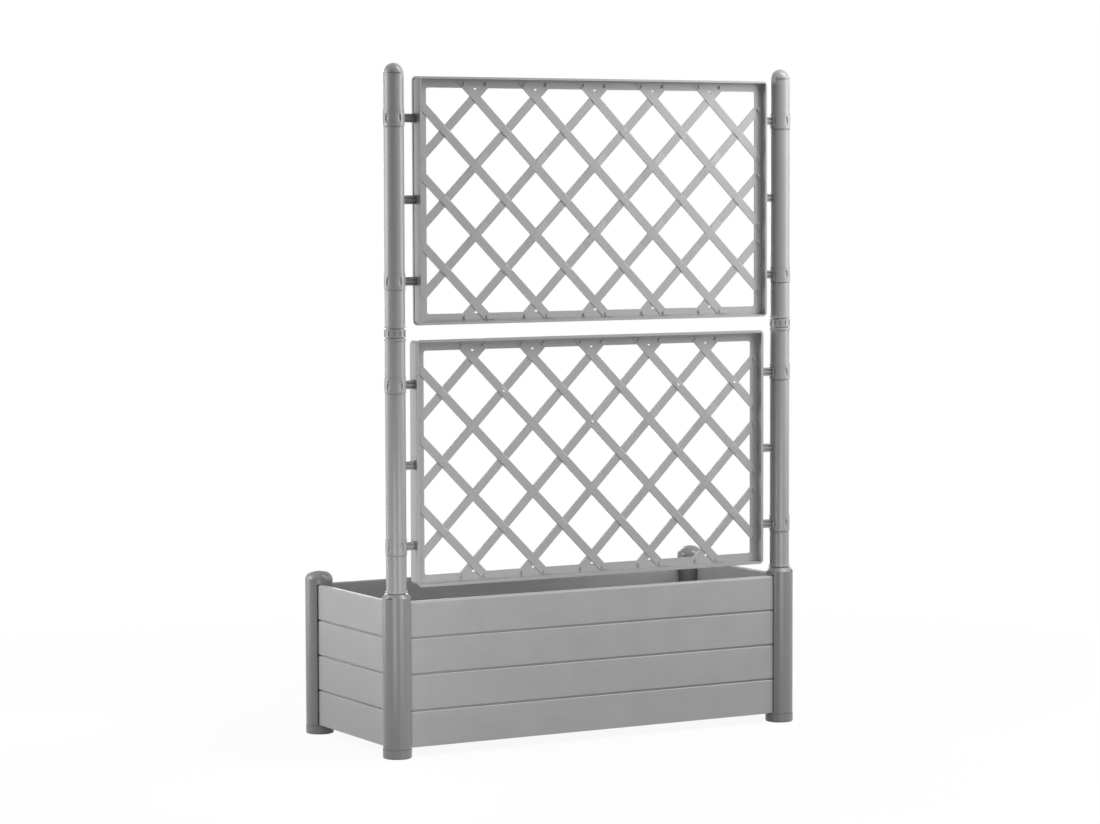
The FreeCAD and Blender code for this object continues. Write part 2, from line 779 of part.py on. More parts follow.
pieces += [
    wall("front_wall", size.post_spacing_length, LONG_WALL_CELLS, as_size(0), -half_width, 0),
    wall("right_wall", size.post_spacing_width, SHORT_WALL_CELLS, half_length, as_size(0), 1),
    wall("back_wall", size.post_spacing_length, LONG_WALL_CELLS, as_size(0), half_width, 2),
    wall("left_wall", size.post_spacing_width, SHORT_WALL_CELLS, -half_length, as_size(0), 3),
    floor_tray(),
]

# Both tiers of the trellis: the tube's lower end, the panel's play and its turn about its length
TIERS = {
    "lower": (lower_tube_bottom, size.lower_panel_play, HALF_TURN),
    "upper": (upper_tube_bottom, size.upper_panel_play, 0),
}
for tier, (bottom, play, turn) in TIERS.items():
    pegs_middle = bottom + peg_middle_height
    facing = -1 if turn else 1
    centre = pegs_middle - size.peg_height_offset * facing
    pieces.append(panel(tier + "_trellis_panel", play, turn, centre, -size.peg_depth_offset * facing))
    for hand, side in (("left", -1), ("right", 1)):
        pieces.append(tube(f"{hand}_{tier}_tube", side, bottom))
        for level, offset in zip(("bottom", "middle", "top"), peg_places):
            name = f"{hand}_{tier}_{level}"
            pieces.append(peg(name + "_peg", side, play, pegs_middle + offset))
            if offset.number:
                pieces.append(collar(name + "_collar", side, pegs_middle + offset))
for hand, side in (("left", -1), ("right", 1)):
    pieces += [coupling(hand + "_coupling", side), tube_cap(hand + "_tube_cap", side)]

doc.recompute()
for item in doc.Objects:
    if {"Invalid", "Error"} & set(item.State):
        raise RuntimeError(f"{item.Label} failed: {item.State}")
for piece in pieces:
    if piece.Shape.isNull() or not piece.Shape.isValid() or len(piece.Shape.Solids) != 1:
        raise RuntimeError(piece.Label + " is not one valid solid")

os.makedirs("parts", exist_ok=True)
for piece in pieces:
    piece.Shape.exportStep(f"parts/{piece.Label}.step")
print(len(pieces), "pieces")
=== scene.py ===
"""Raised planter with a two-tier trellis: finishes, thin moulded relief and a studio around its solids."""

import math

import bmesh
import bpy
from bpy.props import FloatProperty, FloatVectorProperty, PointerProperty
from mathutils import Matrix, Vector


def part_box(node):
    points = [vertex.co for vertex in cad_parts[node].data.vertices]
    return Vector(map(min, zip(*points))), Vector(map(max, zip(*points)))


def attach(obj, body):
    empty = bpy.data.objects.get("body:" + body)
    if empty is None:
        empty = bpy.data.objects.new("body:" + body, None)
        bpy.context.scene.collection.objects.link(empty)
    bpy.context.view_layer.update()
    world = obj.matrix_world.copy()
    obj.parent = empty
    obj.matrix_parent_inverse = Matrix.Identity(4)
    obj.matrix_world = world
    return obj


bl_info = {
    "name": "Raised planter with trellis",
    "version": (1, 0, 0),
    "blender": (4, 5, 0),
    "location": "3D View > Sidebar > Planter",
    "description": "Dresses the planter's solids in moulded polypropylene and sets them in a studio",
    "category": "Object",
}

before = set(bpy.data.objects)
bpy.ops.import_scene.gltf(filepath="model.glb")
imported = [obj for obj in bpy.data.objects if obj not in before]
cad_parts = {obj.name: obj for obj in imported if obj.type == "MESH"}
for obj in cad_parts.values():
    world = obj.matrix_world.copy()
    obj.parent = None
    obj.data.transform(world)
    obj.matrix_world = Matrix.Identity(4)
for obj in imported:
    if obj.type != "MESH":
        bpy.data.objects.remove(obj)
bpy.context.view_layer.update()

MILLIMETRE = 0.001

# Each lamp's name, place, the point it faces, width and height in metres, and power in watts
LAMPS = (
    ("high_right_softbox", (0.69, -0.98, 2.8), (0, 0, 0.72), 0.9, 1.2, 30),
    ("right_softbox", (1.41, -1.37, 2.1), (0, 0, 0.72), 0.9, 1.2, 25),
    ("right_low_softbox", (1.94, -1.36, 1.14), (0, 0, 0.72), 0.9, 1.2, 16),
    ("right_side_softbox", (2.28, -0.61, 1.14), (0, 0, 0.72), 0.9, 1.2, 6),
    ("front_low_strip", (0, -2, 0.22), (0, 0, 0.18), 1, 0.36, 8),
    ("front_left_lamp", (-0.95, -0.75, 0.3), (-0.46, -0.18, 0.3), 0.35, 0.5, 2.6),
    ("left_softbox", (-2.18, 0.79, 1.34), (0, 0, 0.72), 1.2, 1.2, 29),
    ("left_strip", (-1.15, 0.7, 0.7), (-0.46, 0.21, 0.75), 0.4, 1.2, 4.2),
    ("left_high_strip", (-1.15, -0.2, 1.5), (-0.46, -0.06, 0.75), 0.4, 1.2, 1.5),
    ("back_softbox", (0.6, 2.6, 1.3), (0, 0, 0.6), 1.2, 1.2, 22),
)
# The camera's frame, and how far it sees, in metres
FRAME_WIDTH_MM = 36
FARTHEST_SEEN = 100
# The floor is a little less than white up to the first distance, in metres, and white from the second
SHADOW_REACH, WHITE_FROM = 0.6, 2.4
WHITE_SHARE_IN_SHADOW = 0.93

# Names of the finishes
LIGHT_PLASTIC = "light_grey_moulded_polypropylene"
PANEL_PLASTIC = "panel_grey_moulded_polypropylene"
# The gate stubs' near-white finish is partly stress whitening and partly a painted highlight
STUB_PLASTIC = "stress_whitened_polypropylene"
DARK_PLASTIC = "dark_grey_moulded_polypropylene"
TRAY_PLASTIC = "board_grey_moulded_polypropylene"
LONG_BOARDS = "board_grey_polypropylene_grain_lengthwise"
SHORT_BOARDS = "board_grey_polypropylene_grain_crosswise"

POLYPROPYLENE_IOR = 1.49
# Roughness of each finish, and how far grit or grain moves it up and down
SATIN_ROUGHNESS = 0.3
PANEL_ROUGHNESS = 0.36
BOARD_ROUGHNESS = 0.48
SNAPPED_ROUGHNESS = 0.5
TRAY_ROUGHNESS = 0.55
GRIT_ROUGHNESS, GRAIN_ROUGHNESS = 0.06, 0.08
# Share by which clouds and grain lines lighten and darken the colour
CLOUD_TONE, BOARD_CLOUD_TONE, GRAIN_TONE = 0.06, 0.08, 0.05
GRIT_DEPTH, GRAIN_DEPTH = 0.1 * MILLIMETRE, 0.3 * MILLIMETRE
# The axis that the wood grain runs along
LENGTHWISE, CROSSWISE = 0, 1

TIERS = ("lower", "upper")
# The sides of a panel along Y, and the ways a lath slants as seen from the front
FRONT, BACK = -1, 1
FALLS_RIGHT, RISES_RIGHT = 1, -1
# The trellis panels' crossings clear of the rim, in half pitches from the middle, and those with gates
LAST_COLUMN, LAST_ROW = 5, 2
GATE_CROSSINGS = ((-3, 2), (0, 1), (3, 2), (5, 2))
# How deep the relief is let into the laths, and how far it stays inside their edges
LET_IN = 0.3 * MILLIMETRE
EDGE_GAP = 0.15 * MILLIMETRE
# A gate stub's outline above the lath, in shares of its radius and height
STUB_OUTLINE = ((1, 0.5), (0.75, 0.95), (0.5, 1), (0.25, 0.8))
STUB_SIDES = 20


def linear(code):
    """An sRGB hex colour as linear red, green and blue."""
    channels = [int(code[start:start + 2], 16) / 255 for start in (0, 2, 4)]
    return tuple(c / 12.92 if c <= 0.04045 else ((c + 0.055) / 1.055) ** 2.4 for c in channels)


class PlanterFinish(bpy.types.PropertyGroup):
    """Colours and surface sizes of the moulded pieces"""

    light_grey: FloatVectorProperty(
        name="Light grey", description="Tubes, collars, couplings and pegs",
        subtype="COLOR", min=0, max=1, default=linear("979797"),
    )
    panel_grey: FloatVectorProperty(
        name="Panel grey", description="Trellis panels, moulded from a slightly paler batch",
        subtype="COLOR", min=0, max=1, default=linear("a0a0a0"),
    )
    # Near white: partly the stress whitening of snapped polypropylene, partly a painted highlight of the
    # light that the stubs catch
    stub_whitened_and_highlight_grey: FloatVectorProperty(
        name="Gate stub grey", description="Plastic that turned pale where the runner was snapped off",
        subtype="COLOR", min=0, max=1, default=linear("f0f0f0"),
    )
    board_grey: FloatVectorProperty(
        name="Board grey", description="Walls and floor tray",
        subtype="COLOR", min=0, max=1, default=linear("a0a0a0"),
    )
    dark_grey: FloatVectorProperty(
        name="Dark grey", description="Posts, feet, post caps and tube seats",
        subtype="COLOR", min=0, max=1, default=linear("7f7f7f"),
    )
    cloud_size: FloatProperty(
        name="Cloud size", description="Width of the faint blotches that the melt leaves in the colour",
        subtype="DISTANCE", unit="LENGTH", min=0.001, default=70 * MILLIMETRE,
    )
    texture_size: FloatProperty(
        name="Mould texture", description="Grit of the eroded mould face",
        subtype="DISTANCE", unit="LENGTH", min=0.0001, default=1.6 * MILLIMETRE,
    )
    grain_width: FloatProperty(
        name="Grain width", description="Distance between the wood grain's lines on the boards",
        subtype="DISTANCE", unit="LENGTH", min=0.0005, default=5 * MILLIMETRE,
    )
    grain_length: FloatProperty(
        name="Grain length", description="Length of one line of the wood grain",
        subtype="DISTANCE", unit="LENGTH", min=0.01, default=140 * MILLIMETRE,
    )


class PlanterTrellis(bpy.types.PropertyGroup):
    """Sizes of the laths and of the moulded relief where they cross"""

    lath_pitch: FloatProperty(
        name="Lath pitch", description="Distance between laths along the panel",
        subtype="DISTANCE", unit="LENGTH", min=0.02, default=142 * MILLIMETRE,
    )
    lath_width: FloatProperty(
        name="Lath width", description="Width of a lath",
        subtype="DISTANCE", unit="LENGTH", min=0.005, default=17.2 * MILLIMETRE,
    )
    lath_thickness: FloatProperty(
        name="Lath thickness", description="Thickness of a lath",
        subtype="DISTANCE", unit="LENGTH", min=0.001, default=4 * MILLIMETRE,
    )
    lath_step: FloatProperty(
        name="Lath step", description="Depth from one layer of laths to the other",
        subtype="DISTANCE", unit="LENGTH", min=0, default=1 * MILLIMETRE,
    )
    weave_rise: FloatProperty(
        name="Weave rise", description="How far a lath that passes over stands above the outer layer",
        subtype="DISTANCE", unit="LENGTH", min=0, default=0.6 * MILLIMETRE,
    )
    weave_ramp: FloatProperty(
        name="Weave ramp", description="Length of the slope up to a crossing on the outer layer",
        subtype="DISTANCE", unit="LENGTH", min=0.001, default=5 * MILLIMETRE,
    )
    weave_climb: FloatProperty(
        name="Weave climb", description="Length of the slope up to a crossing on the inner layer",
        subtype="DISTANCE", unit="LENGTH", min=0.001, default=30 * MILLIMETRE,
    )
    weave_slope: FloatProperty(
        name="Weave edge", description="Width of the sloped edge of a lath that passes over",
        subtype="DISTANCE", unit="LENGTH", min=0.0001, default=2 * MILLIMETRE,
    )
    stub_radius: FloatProperty(
        name="Gate stub radius", description="Radius of the stub left by a snapped runner",
        subtype="DISTANCE", unit="LENGTH", min=0.0005, default=2.6 * MILLIMETRE,
    )
    stub_height: FloatProperty(
        name="Gate stub height", description="Height of the stub left by a snapped runner",
        subtype="DISTANCE", unit="LENGTH", min=0.0001, default=1.2 * MILLIMETRE,
    )


class PlanterStudio(bpy.types.PropertyGroup):
    """Camera, lamps and floor"""

    camera_place: FloatVectorProperty(
        name="Camera place", description="Where the camera stands",
        subtype="TRANSLATION", unit="LENGTH", default=(-3.518, -6.222, 1.170),
    )
    camera_yaw: FloatProperty(
        name="Yaw", description="Turn of the view to the right of straight ahead",
        subtype="ANGLE", unit="ROTATION", default=math.radians(29.47),
    )
    camera_pitch: FloatProperty(
        name="Pitch", description="Tilt of the view above level",
        subtype="ANGLE", unit="ROTATION", default=math.radians(-3.89),
    )
    camera_roll: FloatProperty(
        name="Roll", description="Turn of the picture about its middle",
        subtype="ANGLE", unit="ROTATION", default=-0.003,
    )
    camera_lens: FloatProperty(
        name="Lens", description="Focal length in millimetres on a 36 mm frame", min=1, default=108.75,
    )
    lamp_level: FloatProperty(
        name="Lamp level", description="Share of their own power that all the lamps give", min=0, default=1,
    )
    room_light: FloatProperty(
        name="Room light", description="Light that the white room adds from all round", min=0, default=0.04,
    )
    floor_colour: FloatVectorProperty(
        name="Floor", description="Colour of the floor",
        subtype="COLOR", min=0, max=1, default=linear("e6e6e6"),
    )
    floor_shade: FloatVectorProperty(
        name="Floor shade", description="Colour of the light that the floor throws back at the object",
        subtype="COLOR", min=0, max=1, default=linear("5a5a5a"),
    )
    floor_size: FloatProperty(
        name="Floor size", description="Side of the square floor",
        subtype="DISTANCE", unit="LENGTH", min=1, default=30,
    )


def add_node(tree, kind, values=None, links=None, **settings):
    """Adds a node with its settings, its sockets' values and the links into it."""
    node = tree.nodes.new("ShaderNode" + kind)
    for name, value in settings.items():
        setattr(node, name, value)
    for socket, value in (values or {}).items():
        node.inputs[socket].default_value = value
    for socket, output in (links or {}).items():
        tree.links.new(output, node.inputs[socket])
    return node


def shaded(colour, share):
    """A colour made lighter or darker by a share, with full alpha."""
    return (*[channel * share for channel in colour], 1)


def new_material(name):
    """An empty node material and its tree."""
    material = bpy.data.materials.new(name)
    material.use_nodes = True
    material.node_tree.nodes.clear()
    return material, material.node_tree


def moulded_polypropylene(finish, name, colour, roughness):
    """Polypropylene from an eroded mould: satin, slightly cloudy in tone, with a fine grit that breaks up
    reflections."""
    material, tree = new_material(name)
    place = add_node(tree, "TexCoord").outputs["Object"]
    cloud = add_node(
        tree, "TexNoise", {"Scale": 1 / finish.cloud_size, "Detail": 3, "Roughness": 0.55},
        {"Vector": place},
    )
    tone = add_node(
        tree, "MixRGB",
        {"Color1": shaded(colour, 1 - CLOUD_TONE), "Color2": shaded(colour, 1 + CLOUD_TONE)},
        {"Fac": cloud.outputs["Fac"]},
    )
    # The grit is a few tenths of a millimetre in the mould and is drawn coarser, so that it shows
    grit = add_node(
        tree, "TexNoise", {"Scale": 1 / finish.texture_size, "Detail": 2, "Roughness": 0.6},
        {"Vector": place},
    )
    gloss = add_node(
        tree, "MapRange", {"To Min": roughness - GRIT_ROUGHNESS, "To Max": roughness + GRIT_ROUGHNESS},
        {"Value": grit.outputs["Fac"]},
    )
    relief = add_node(
        tree, "Bump", {"Strength": 0.12, "Distance": GRIT_DEPTH}, {"Height": grit.outputs["Fac"]}
    )
    shader = add_node(
        tree, "BsdfPrincipled", {"IOR": POLYPROPYLENE_IOR},
        {
            "Base Color": tone.outputs["Color"],
            "Roughness": gloss.outputs["Result"],
            "Normal": relief.outputs["Normal"],
        },
    )
    add_node(tree, "OutputMaterial", links={"Surface": shader.outputs["BSDF"]})
    return material


def grained_polypropylene(finish, name, colour, roughness, along):
    """Polypropylene boards from a mould etched with wood grain: matt, with long faint lines and soft cloudy
    patches."""
    material, tree = new_material(name)
    place = add_node(tree, "TexCoord").outputs["Object"]
    fine, long = 1 / finish.grain_width, 1 / finish.grain_length
    stretched = add_node(
        tree, "Mapping", {"Scale": [long if axis == along else fine for axis in range(3)]},
        {"Vector": place},
    )
    grain = add_node(
        tree, "TexNoise", {"Scale": 1, "Detail": 5, "Roughness": 0.6, "Distortion": 0.4},
        {"Vector": stretched.outputs["Vector"]},
    )
    cloud = add_node(
        tree, "TexNoise", {"Scale": 1 / finish.cloud_size, "Detail": 3, "Roughness": 0.55},
        {"Vector": place},
    )
    patches = add_node(
        tree, "MixRGB",
        {"Color1": shaded(colour, 1 - BOARD_CLOUD_TONE), "Color2": shaded(colour, 1 + BOARD_CLOUD_TONE)},
        {"Fac": cloud.outputs["Fac"]},
    )
    lines = add_node(
        tree, "MapRange", {"To Min": 1 - GRAIN_TONE, "To Max": 1 + GRAIN_TONE},
        {"Value": grain.outputs["Fac"]},
    )
    tone = add_node(
        tree, "VectorMath", links={0: patches.outputs["Color"], "Scale": lines.outputs["Result"]},
        operation="SCALE",
    )
    gloss = add_node(
        tree, "MapRange", {"To Min": roughness - GRAIN_ROUGHNESS, "To Max": roughness + GRAIN_ROUGHNESS},
        {"Value": grain.outputs["Fac"]},
    )
    relief = add_node(
        tree, "Bump", {"Strength": 0.3, "Distance": GRAIN_DEPTH}, {"Height": grain.outputs["Fac"]}
    )
    shader = add_node(
        tree, "BsdfPrincipled", {"IOR": POLYPROPYLENE_IOR},
        {
            "Base Color": tone.outputs["Vector"],
            "Roughness": gloss.outputs["Result"],
            "Normal": relief.outputs["Normal"],
        },
    )
    add_node(tree, "OutputMaterial", links={"Surface": shader.outputs["BSDF"]})
    return material


def finish_named(context, name):
    """The named finish, made when it is first asked for."""
    finish = context.scene.planter_finish
    makers = {
        LIGHT_PLASTIC: (moulded_polypropylene, finish.light_grey, SATIN_ROUGHNESS),
        PANEL_PLASTIC: (moulded_polypropylene, finish.panel_grey, PANEL_ROUGHNESS),
        # Polypropylene turns pale and dull where it is bent until it snaps; the stubs' near white is partly
        # that and partly a painted highlight
        STUB_PLASTIC: (moulded_polypropylene, finish.stub_whitened_and_highlight_grey, SNAPPED_ROUGHNESS),
        DARK_PLASTIC: (moulded_polypropylene, finish.dark_grey, SATIN_ROUGHNESS),
        TRAY_PLASTIC: (moulded_polypropylene, finish.board_grey, TRAY_ROUGHNESS),
        LONG_BOARDS: (grained_polypropylene, finish.board_grey, BOARD_ROUGHNESS, LENGTHWISE),
        SHORT_BOARDS: (grained_polypropylene, finish.board_grey, BOARD_ROUGHNESS, CROSSWISE),
    }
    make, *looks = makers[name]
    return bpy.data.materials.get(name) or make(finish, name, *looks)


def pieces_ending(ending):
    """The solids whose names end in this way."""
    found = [piece for name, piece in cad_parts.items() if name.endswith(ending)]
    if not found:
        raise RuntimeError("no solid is named *" + ending)
    return found


def dress(pieces, material):
    """Puts one finish on each of the pieces."""
    for piece in pieces:
        piece.data.materials.clear()
        piece.data.materials.append(material)


class PLANTER_OT_dress_posts(bpy.types.Operator):
    """Gives the four corner posts their dark grey finish"""

    bl_idname = "planter.dress_posts"
    bl_label = "Dress posts"

    def execute(self, context):
        dress(pieces_ending("_post"), finish_named(context, DARK_PLASTIC))
        return {"FINISHED"}


class PLANTER_OT_dress_feet(bpy.types.Operator):
    """Gives the feet under the posts their dark grey finish"""

    bl_idname = "planter.dress_feet"
    bl_label = "Dress feet"

    def execute(self, context):
        dress(pieces_ending("_foot"), finish_named(context, DARK_PLASTIC))
        return {"FINISHED"}


class PLANTER_OT_dress_post_caps(bpy.types.Operator):
    """Gives the domed caps of the back posts their dark grey finish"""

    bl_idname = "planter.dress_post_caps"
    bl_label = "Dress post caps"

    def execute(self, context):
        dress(pieces_ending("_post_cap"), finish_named(context, DARK_PLASTIC))
        return {"FINISHED"}


class PLANTER_OT_dress_tube_seats(bpy.types.Operator):
    """Gives the seats on the front posts their dark grey finish"""

    bl_idname = "planter.dress_tube_seats"
    bl_label = "Dress tube seats"

    def execute(self, context):
        dress(pieces_ending("_tube_seat"), finish_named(context, DARK_PLASTIC))
        return {"FINISHED"}


class PLANTER_OT_dress_walls(bpy.types.Operator):
    """Gives the walls their wood grain, along the boards of each wall"""

    bl_idname = "planter.dress_walls"
    bl_label = "Dress walls"

    def execute(self, context):
        for ending, name in (
            ("front_wall", LONG_BOARDS), ("back_wall", LONG_BOARDS),
            ("left_wall", SHORT_BOARDS), ("right_wall", SHORT_BOARDS),
        ):
            dress(pieces_ending(ending), finish_named(context, name))
        return {"FINISHED"}


class PLANTER_OT_dress_tray(bpy.types.Operator):
    """Gives the floor tray a plain board grey finish"""

    bl_idname = "planter.dress_tray"
    bl_label = "Dress floor tray"

    def execute(self, context):
        dress(pieces_ending("floor_tray"), finish_named(context, TRAY_PLASTIC))
        return {"FINISHED"}


class PLANTER_OT_dress_tubes(bpy.types.Operator):
    """Gives the trellis tubes their light grey finish"""

    bl_idname = "planter.dress_tubes"
    bl_label = "Dress tubes"

    def execute(self, context):
        dress(pieces_ending("_tube"), finish_named(context, LIGHT_PLASTIC))
        return {"FINISHED"}


class PLANTER_OT_dress_couplings(bpy.types.Operator):
    """Gives the couplings between the tubes their light grey finish"""

    bl_idname = "planter.dress_couplings"
    bl_label = "Dress couplings"

    def execute(self, context):
        dress(pieces_ending("_coupling"), finish_named(context, LIGHT_PLASTIC))
        return {"FINISHED"}


class PLANTER_OT_dress_collars(bpy.types.Operator):
    """Gives the collars round the tubes their light grey finish"""

    bl_idname = "planter.dress_collars"
    bl_label = "Dress collars"

    def execute(self, context):
        dress(pieces_ending("_collar"), finish_named(context, LIGHT_PLASTIC))
        return {"FINISHED"}


class PLANTER_OT_dress_tube_caps(bpy.types.Operator):
    """Gives the domed caps of the tubes their light grey finish"""

    bl_idname = "planter.dress_tube_caps"
    bl_label = "Dress tube caps"

    def execute(self, context):
        dress(pieces_ending("_tube_cap"), finish_named(context, LIGHT_PLASTIC))
        return {"FINISHED"}


class PLANTER_OT_dress_pegs(bpy.types.Operator):
    """Gives the pegs between the tubes and the panels their light grey finish"""

    bl_idname = "planter.dress_pegs"
    bl_label = "Dress pegs"

    def execute(self, context):
        dress(pieces_ending("_peg"), finish_named(context, LIGHT_PLASTIC))
        return {"FINISHED"}


class PLANTER_OT_dress_panels(bpy.types.Operator):
    """Gives the trellis panels their paler grey finish"""

    bl_idname = "planter.dress_panels"
    bl_label = "Dress panels"

    def execute(self, context):
        dress(pieces_ending("_trellis_panel"), finish_named(context, PANEL_PLASTIC))
        return {"FINISHED"}


def panel_middle(tier):
    """The middle of a tier's trellis panel."""
    low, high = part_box(tier + "_trellis_panel")
    return (Vector(low) + Vector(high)) / 2


def lath_crossing(trellis, tier, column, row):
    """Where two laths cross at mid-depth, counted in half pitches from the panel's middle."""
    half_pitch = trellis.lath_pitch / 2
    return panel_middle(tier) + Vector((column * half_pitch, 0, row * half_pitch))


def outer_layer(trellis):
    """How far the outer layer's face lies from the panel's mid-depth."""
    return (trellis.lath_thickness + trellis.lath_step) / 2


def closed_rings(rings):
    """Corners and faces of a solid that runs through rings of as many corners each, closed at both ends."""
    count = len(rings[0])
    corners = [corner for ring in rings for corner in ring]
    faces = [tuple(reversed(range(count))), tuple(range(len(corners) - count, len(corners)))]
    for start in range(0, len(corners) - count, count):
        for index in range(count):
            after = (index + 1) % count
            faces.append((start + index, start + after, start + count + after, start + count + index))
    return corners, faces


def trellis_piece(context, name, tier, solids, material):
    """One piece of several small solids, on a tier of the trellis."""
    corners, faces = [], []
    for solid_corners, solid_faces in solids:
        faces += [[len(corners) + index for index in face] for face in solid_faces]
        corners += solid_corners
    mesh = bpy.data.meshes.new(name)
    mesh.from_pydata(corners, [], faces)
    work = bmesh.new()
    work.from_mesh(mesh)
    bmesh.ops.recalc_face_normals(work, faces=work.faces)
    work.to_mesh(mesh)
    work.free()
    mesh.materials.append(material)
    piece = bpy.data.objects.new(name, mesh)
    context.scene.collection.objects.link(piece)
    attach(piece, tier + "_trellis")


def woven_hump(trellis, middle, fall, side):
    """The rise of a lath over the one it crosses, on one side of a panel."""
    top = outer_layer(trellis) + trellis.weave_rise
    # The laths that fall to the right lie in front, and the others behind
    outer = fall * side < 0
    own_face = outer_layer(trellis) - (0 if outer else trellis.lath_step)
    foot = own_face - LET_IN
    ramp_end = own_face - LET_IN / 2
    half_width = trellis.lath_width / 2 - EDGE_GAP
    half_top = half_width - trellis.weave_slope
    level = trellis.lath_width / 2
    ramp = trellis.weave_ramp if outer else trellis.weave_climb
    along = Vector((1, 0, -fall)).normalized()
    across = Vector((fall, 0, 1)).normalized()
    rings = []
    for reach, height, half_ridge in (
        (-level - ramp, ramp_end, half_width), (-level, top, half_top),
        (level, top, half_top), (level + ramp, ramp_end, half_width),
    ):
        section = ((-half_width, foot), (-half_ridge, height), (half_ridge, height), (half_width, foot))
        rings.append([
            middle + along * reach + across * offset + Vector((0, side * depth, 0))
            for offset, depth in section
        ])
    return closed_rings(rings)


def gate_stub(trellis, middle):
    """A low round stub with a broken, slightly hollow top, on the front of a crossing."""
    face = outer_layer(trellis) + trellis.weave_rise
    outline = [(trellis.stub_radius, -LET_IN)]
    outline += [(trellis.stub_radius * wide, trellis.stub_height * high) for wide, high in STUB_OUTLINE]
    turns = [math.tau * index / STUB_SIDES for index in range(STUB_SIDES)]
    return closed_rings([
        [
            middle + Vector((math.cos(turn) * radius, FRONT * (face + height), math.sin(turn) * radius))
            for turn in turns
        ]
        for radius, height in outline
    ])


class PLANTER_OT_weave_laths(bpy.types.Operator):
    """Raises each panel's laths over each other in turn, row by row, as in a woven trellis"""

    bl_idname = "planter.weave_laths"
    bl_label = "Weave laths"

    def execute(self, context):
        trellis = context.scene.planter_trellis
        material = finish_named(context, PANEL_PLASTIC)
        for tier in TIERS:
            humps = []
            for row in range(-LAST_ROW, LAST_ROW + 1):
                over = RISES_RIGHT if row % 2 else FALLS_RIGHT
                for column in range(-LAST_COLUMN, LAST_COLUMN + 1):
                    if (row + column) % 2:
                        middle = lath_crossing(trellis, tier, column, row)
                        humps.append(woven_hump(trellis, middle, over, FRONT))
                        humps.append(woven_hump(trellis, middle, -over, BACK))
            trellis_piece(context, tier + "_trellis_weave", tier, humps, material)
        return {"FINISHED"}


class PLANTER_OT_add_gate_stubs(bpy.types.Operator):
    """Adds the stubs of snapped runners on the front of the lower panel, pale partly from stress whitening
    and partly from a painted highlight
    """

    bl_idname = "planter.add_gate_stubs"
    bl_label = "Add gate stubs"

    def execute(self, context):
        trellis = context.scene.planter_trellis
        stubs = [
            gate_stub(trellis, lath_crossing(trellis, "lower", column, row))
            for column, row in GATE_CROSSINGS
        ]
        material = finish_named(context, STUB_PLASTIC)
        trellis_piece(context, "lower_trellis_gate_stubs", "lower", stubs, material)
        return {"FINISHED"}


def softbox(name, place, aim, width, height, power):
    """A rectangular lamp that faces a point."""
    lamp = bpy.data.lights.new(name, "AREA")
    lamp.shape = "RECTANGLE"
    lamp.size = width
    lamp.size_y = height
    lamp.energy = power
    stand = bpy.data.objects.new(name, lamp)
    stand.location = place
    stand.rotation_euler = (Vector(aim) - Vector(place)).to_track_quat("-Z", "Y").to_euler()
    bpy.context.scene.collection.objects.link(stand)


def seen_rays(tree):
    """1 for rays that show the room to the camera, directly or in a reflection, and 0 for those that light
    the object."""
    path = add_node(tree, "LightPath")
    either = add_node(
        tree, "Math", links={0: path.outputs["Is Camera Ray"], 1: path.outputs["Is Glossy Ray"]},
        operation="MAXIMUM",
    )
    seen = add_node(
        tree, "Math", links={0: either.outputs["Value"], 1: path.outputs["Is Transmission Ray"]},
        operation="MAXIMUM",
    )
    return seen.outputs["Value"]


def white_room(room_light):
    """A world that is white to look at and lights the object at its own plain level."""
    world = bpy.data.worlds.new("white_room")
    world.use_nodes = True
    tree = world.node_tree
    tree.nodes.clear()
    strength = add_node(tree, "MapRange", {"To Min": room_light, "To Max": 1}, {"Value": seen_rays(tree)})
    background = add_node(
        tree, "Background", {"Color": (1, 1, 1, 1)}, {"Strength": strength.outputs["Result"]}
    )
    add_node(tree, "OutputWorld", links={"Surface": background.outputs["Background"]})
    bpy.context.scene.world = world


def painted_floor(colour, shade):
    """White matt studio paint: nearly white where the object's shadow falls and white farther off, with
    little light thrown back up at the object."""
    material, tree = new_material("white_matt_floor_paint")
    place = add_node(tree, "TexCoord").outputs["Object"]
    distance = add_node(tree, "VectorMath", links={0: place}, operation="LENGTH")
    white_share = add_node(
        tree, "MapRange",
        {"From Min": SHADOW_REACH, "From Max": WHITE_FROM, "To Min": WHITE_SHARE_IN_SHADOW, "To Max": 1},
        {"Value": distance.outputs["Value"]}, interpolation_type="SMOOTHSTEP",
    )
    paint = add_node(tree, "BsdfDiffuse", {"Color": (*colour, 1)})
    white = add_node(tree, "Emission", {"Color": (1, 1, 1, 1), "Strength": 1})
    shown = add_node(
        tree, "MixShader",
        links={0: white_share.outputs["Result"], 1: paint.outputs["BSDF"], 2: white.outputs["Emission"]},
    )
    unseen = add_node(tree, "BsdfDiffuse", {"Color": (*shade, 1)})
    mixed = add_node(
        tree, "MixShader", links={0: seen_rays(tree), 1: unseen.outputs["BSDF"], 2: shown.outputs["Shader"]}
    )
    add_node(tree, "OutputMaterial", links={"Surface": mixed.outputs["Shader"]})
    return material


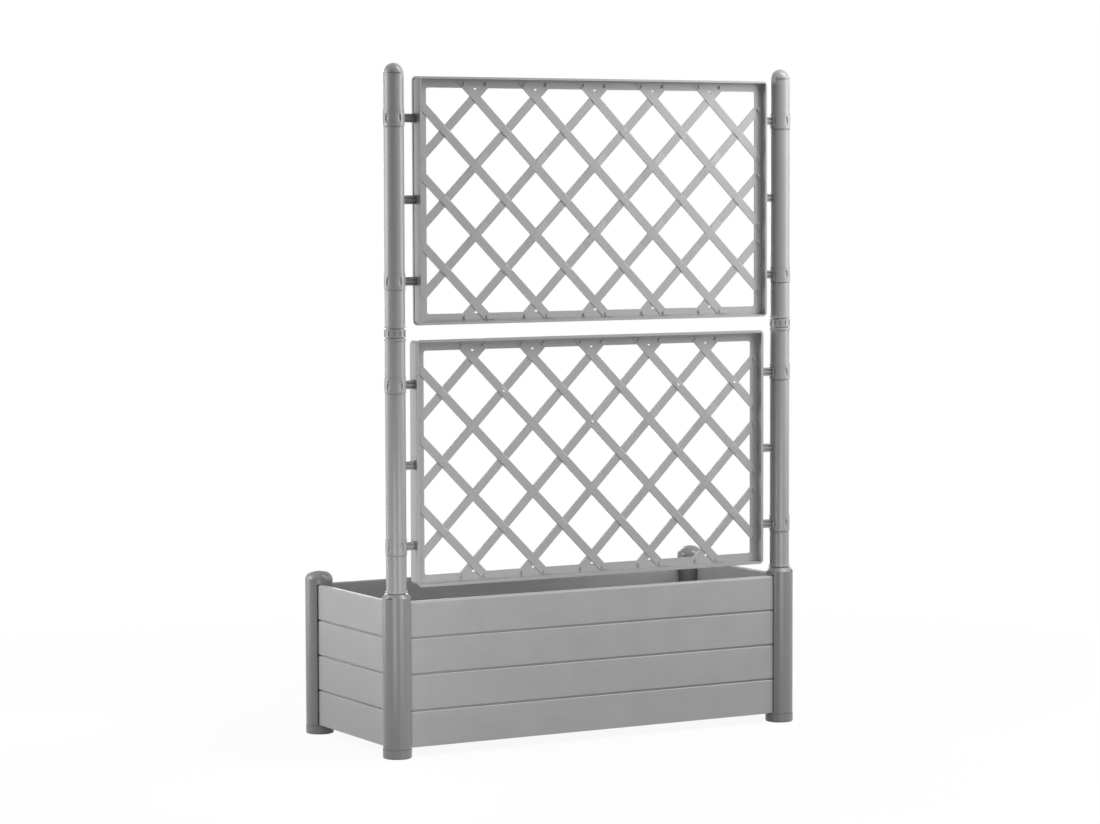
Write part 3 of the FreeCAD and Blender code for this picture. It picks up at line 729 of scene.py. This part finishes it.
class PLANTER_OT_set_stage(bpy.types.Operator):
    """Lays the floor, hangs the lamps and stands the camera where the photograph was taken"""

    bl_idname = "planter.set_stage"
    bl_label = "Set stage"

    def execute(self, context):
        studio = context.scene.planter_studio
        half = studio.floor_size / 2
        mesh = bpy.data.meshes.new("studio_floor")
        corners = [(-half, -half, 0), (half, -half, 0), (half, half, 0), (-half, half, 0)]
        mesh.from_pydata(corners, [], [(0, 1, 2, 3)])
        mesh.materials.append(painted_floor(studio.floor_colour, studio.floor_shade))
        floor = bpy.data.objects.new("studio_floor", mesh)
        context.scene.collection.objects.link(floor)

        white_room(studio.room_light)
        for name, place, aim, width, height, power in LAMPS:
            softbox(name, place, aim, width, height, power * studio.lamp_level)

        camera = bpy.data.objects.new("camera", bpy.data.cameras.new("camera"))
        camera.data.lens = studio.camera_lens
        camera.data.sensor_width = FRAME_WIDTH_MM
        camera.data.sensor_fit = "HORIZONTAL"
        camera.data.clip_end = FARTHEST_SEEN
        level = math.pi / 2 + studio.camera_pitch
        turn = (
            Matrix.Rotation(-studio.camera_yaw, 3, "Z")
            @ Matrix.Rotation(level, 3, "X")
            @ Matrix.Rotation(studio.camera_roll, 3, "Z")
        )
        camera.location = studio.camera_place
        camera.rotation_euler = turn.to_euler()
        context.scene.collection.objects.link(camera)
        context.scene.camera = camera
        context.scene.view_settings.view_transform = "Standard"
        return {"FINISHED"}


OPERATORS = (
    PLANTER_OT_dress_posts,
    PLANTER_OT_dress_feet,
    PLANTER_OT_dress_post_caps,
    PLANTER_OT_dress_tube_seats,
    PLANTER_OT_dress_walls,
    PLANTER_OT_dress_tray,
    PLANTER_OT_dress_tubes,
    PLANTER_OT_dress_couplings,
    PLANTER_OT_dress_collars,
    PLANTER_OT_dress_tube_caps,
    PLANTER_OT_dress_pegs,
    PLANTER_OT_dress_panels,
    PLANTER_OT_weave_laths,
    PLANTER_OT_add_gate_stubs,
    PLANTER_OT_set_stage,
)


class PLANTER_PT_sidebar(bpy.types.Panel):
    """Lists the planter's finishes, trellis sizes, studio settings and steps"""

    bl_idname = "PLANTER_PT_sidebar"
    bl_label = "Raised planter"
    bl_space_type = "VIEW_3D"
    bl_region_type = "UI"
    bl_category = "Planter"

    def draw(self, context):
        scene = context.scene
        for settings in (scene.planter_finish, scene.planter_trellis, scene.planter_studio):
            for name in settings.bl_rna.properties.keys():
                if name not in ("rna_type", "name"):
                    self.layout.prop(settings, name)
        for operator in OPERATORS:
            self.layout.operator(operator.bl_idname)


CLASSES = (PlanterFinish, PlanterTrellis, PlanterStudio, *OPERATORS, PLANTER_PT_sidebar)


def register():
    """Registers the classes and gives the scene its settings."""
    for item in CLASSES:
        bpy.utils.register_class(item)
    bpy.types.Scene.planter_finish = PointerProperty(type=PlanterFinish)
    bpy.types.Scene.planter_trellis = PointerProperty(type=PlanterTrellis)
    bpy.types.Scene.planter_studio = PointerProperty(type=PlanterStudio)


def unregister():
    """Takes the settings and the classes away again."""
    del bpy.types.Scene.planter_studio
    del bpy.types.Scene.planter_trellis
    del bpy.types.Scene.planter_finish
    for item in reversed(CLASSES):
        bpy.utils.unregister_class(item)


def main():
    """Registers the add-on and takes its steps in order."""
    register()
    for operator in OPERATORS:
        group, name = operator.bl_idname.split(".")
        getattr(getattr(bpy.ops, group), name)()


if __name__ == "__main__":
    main()
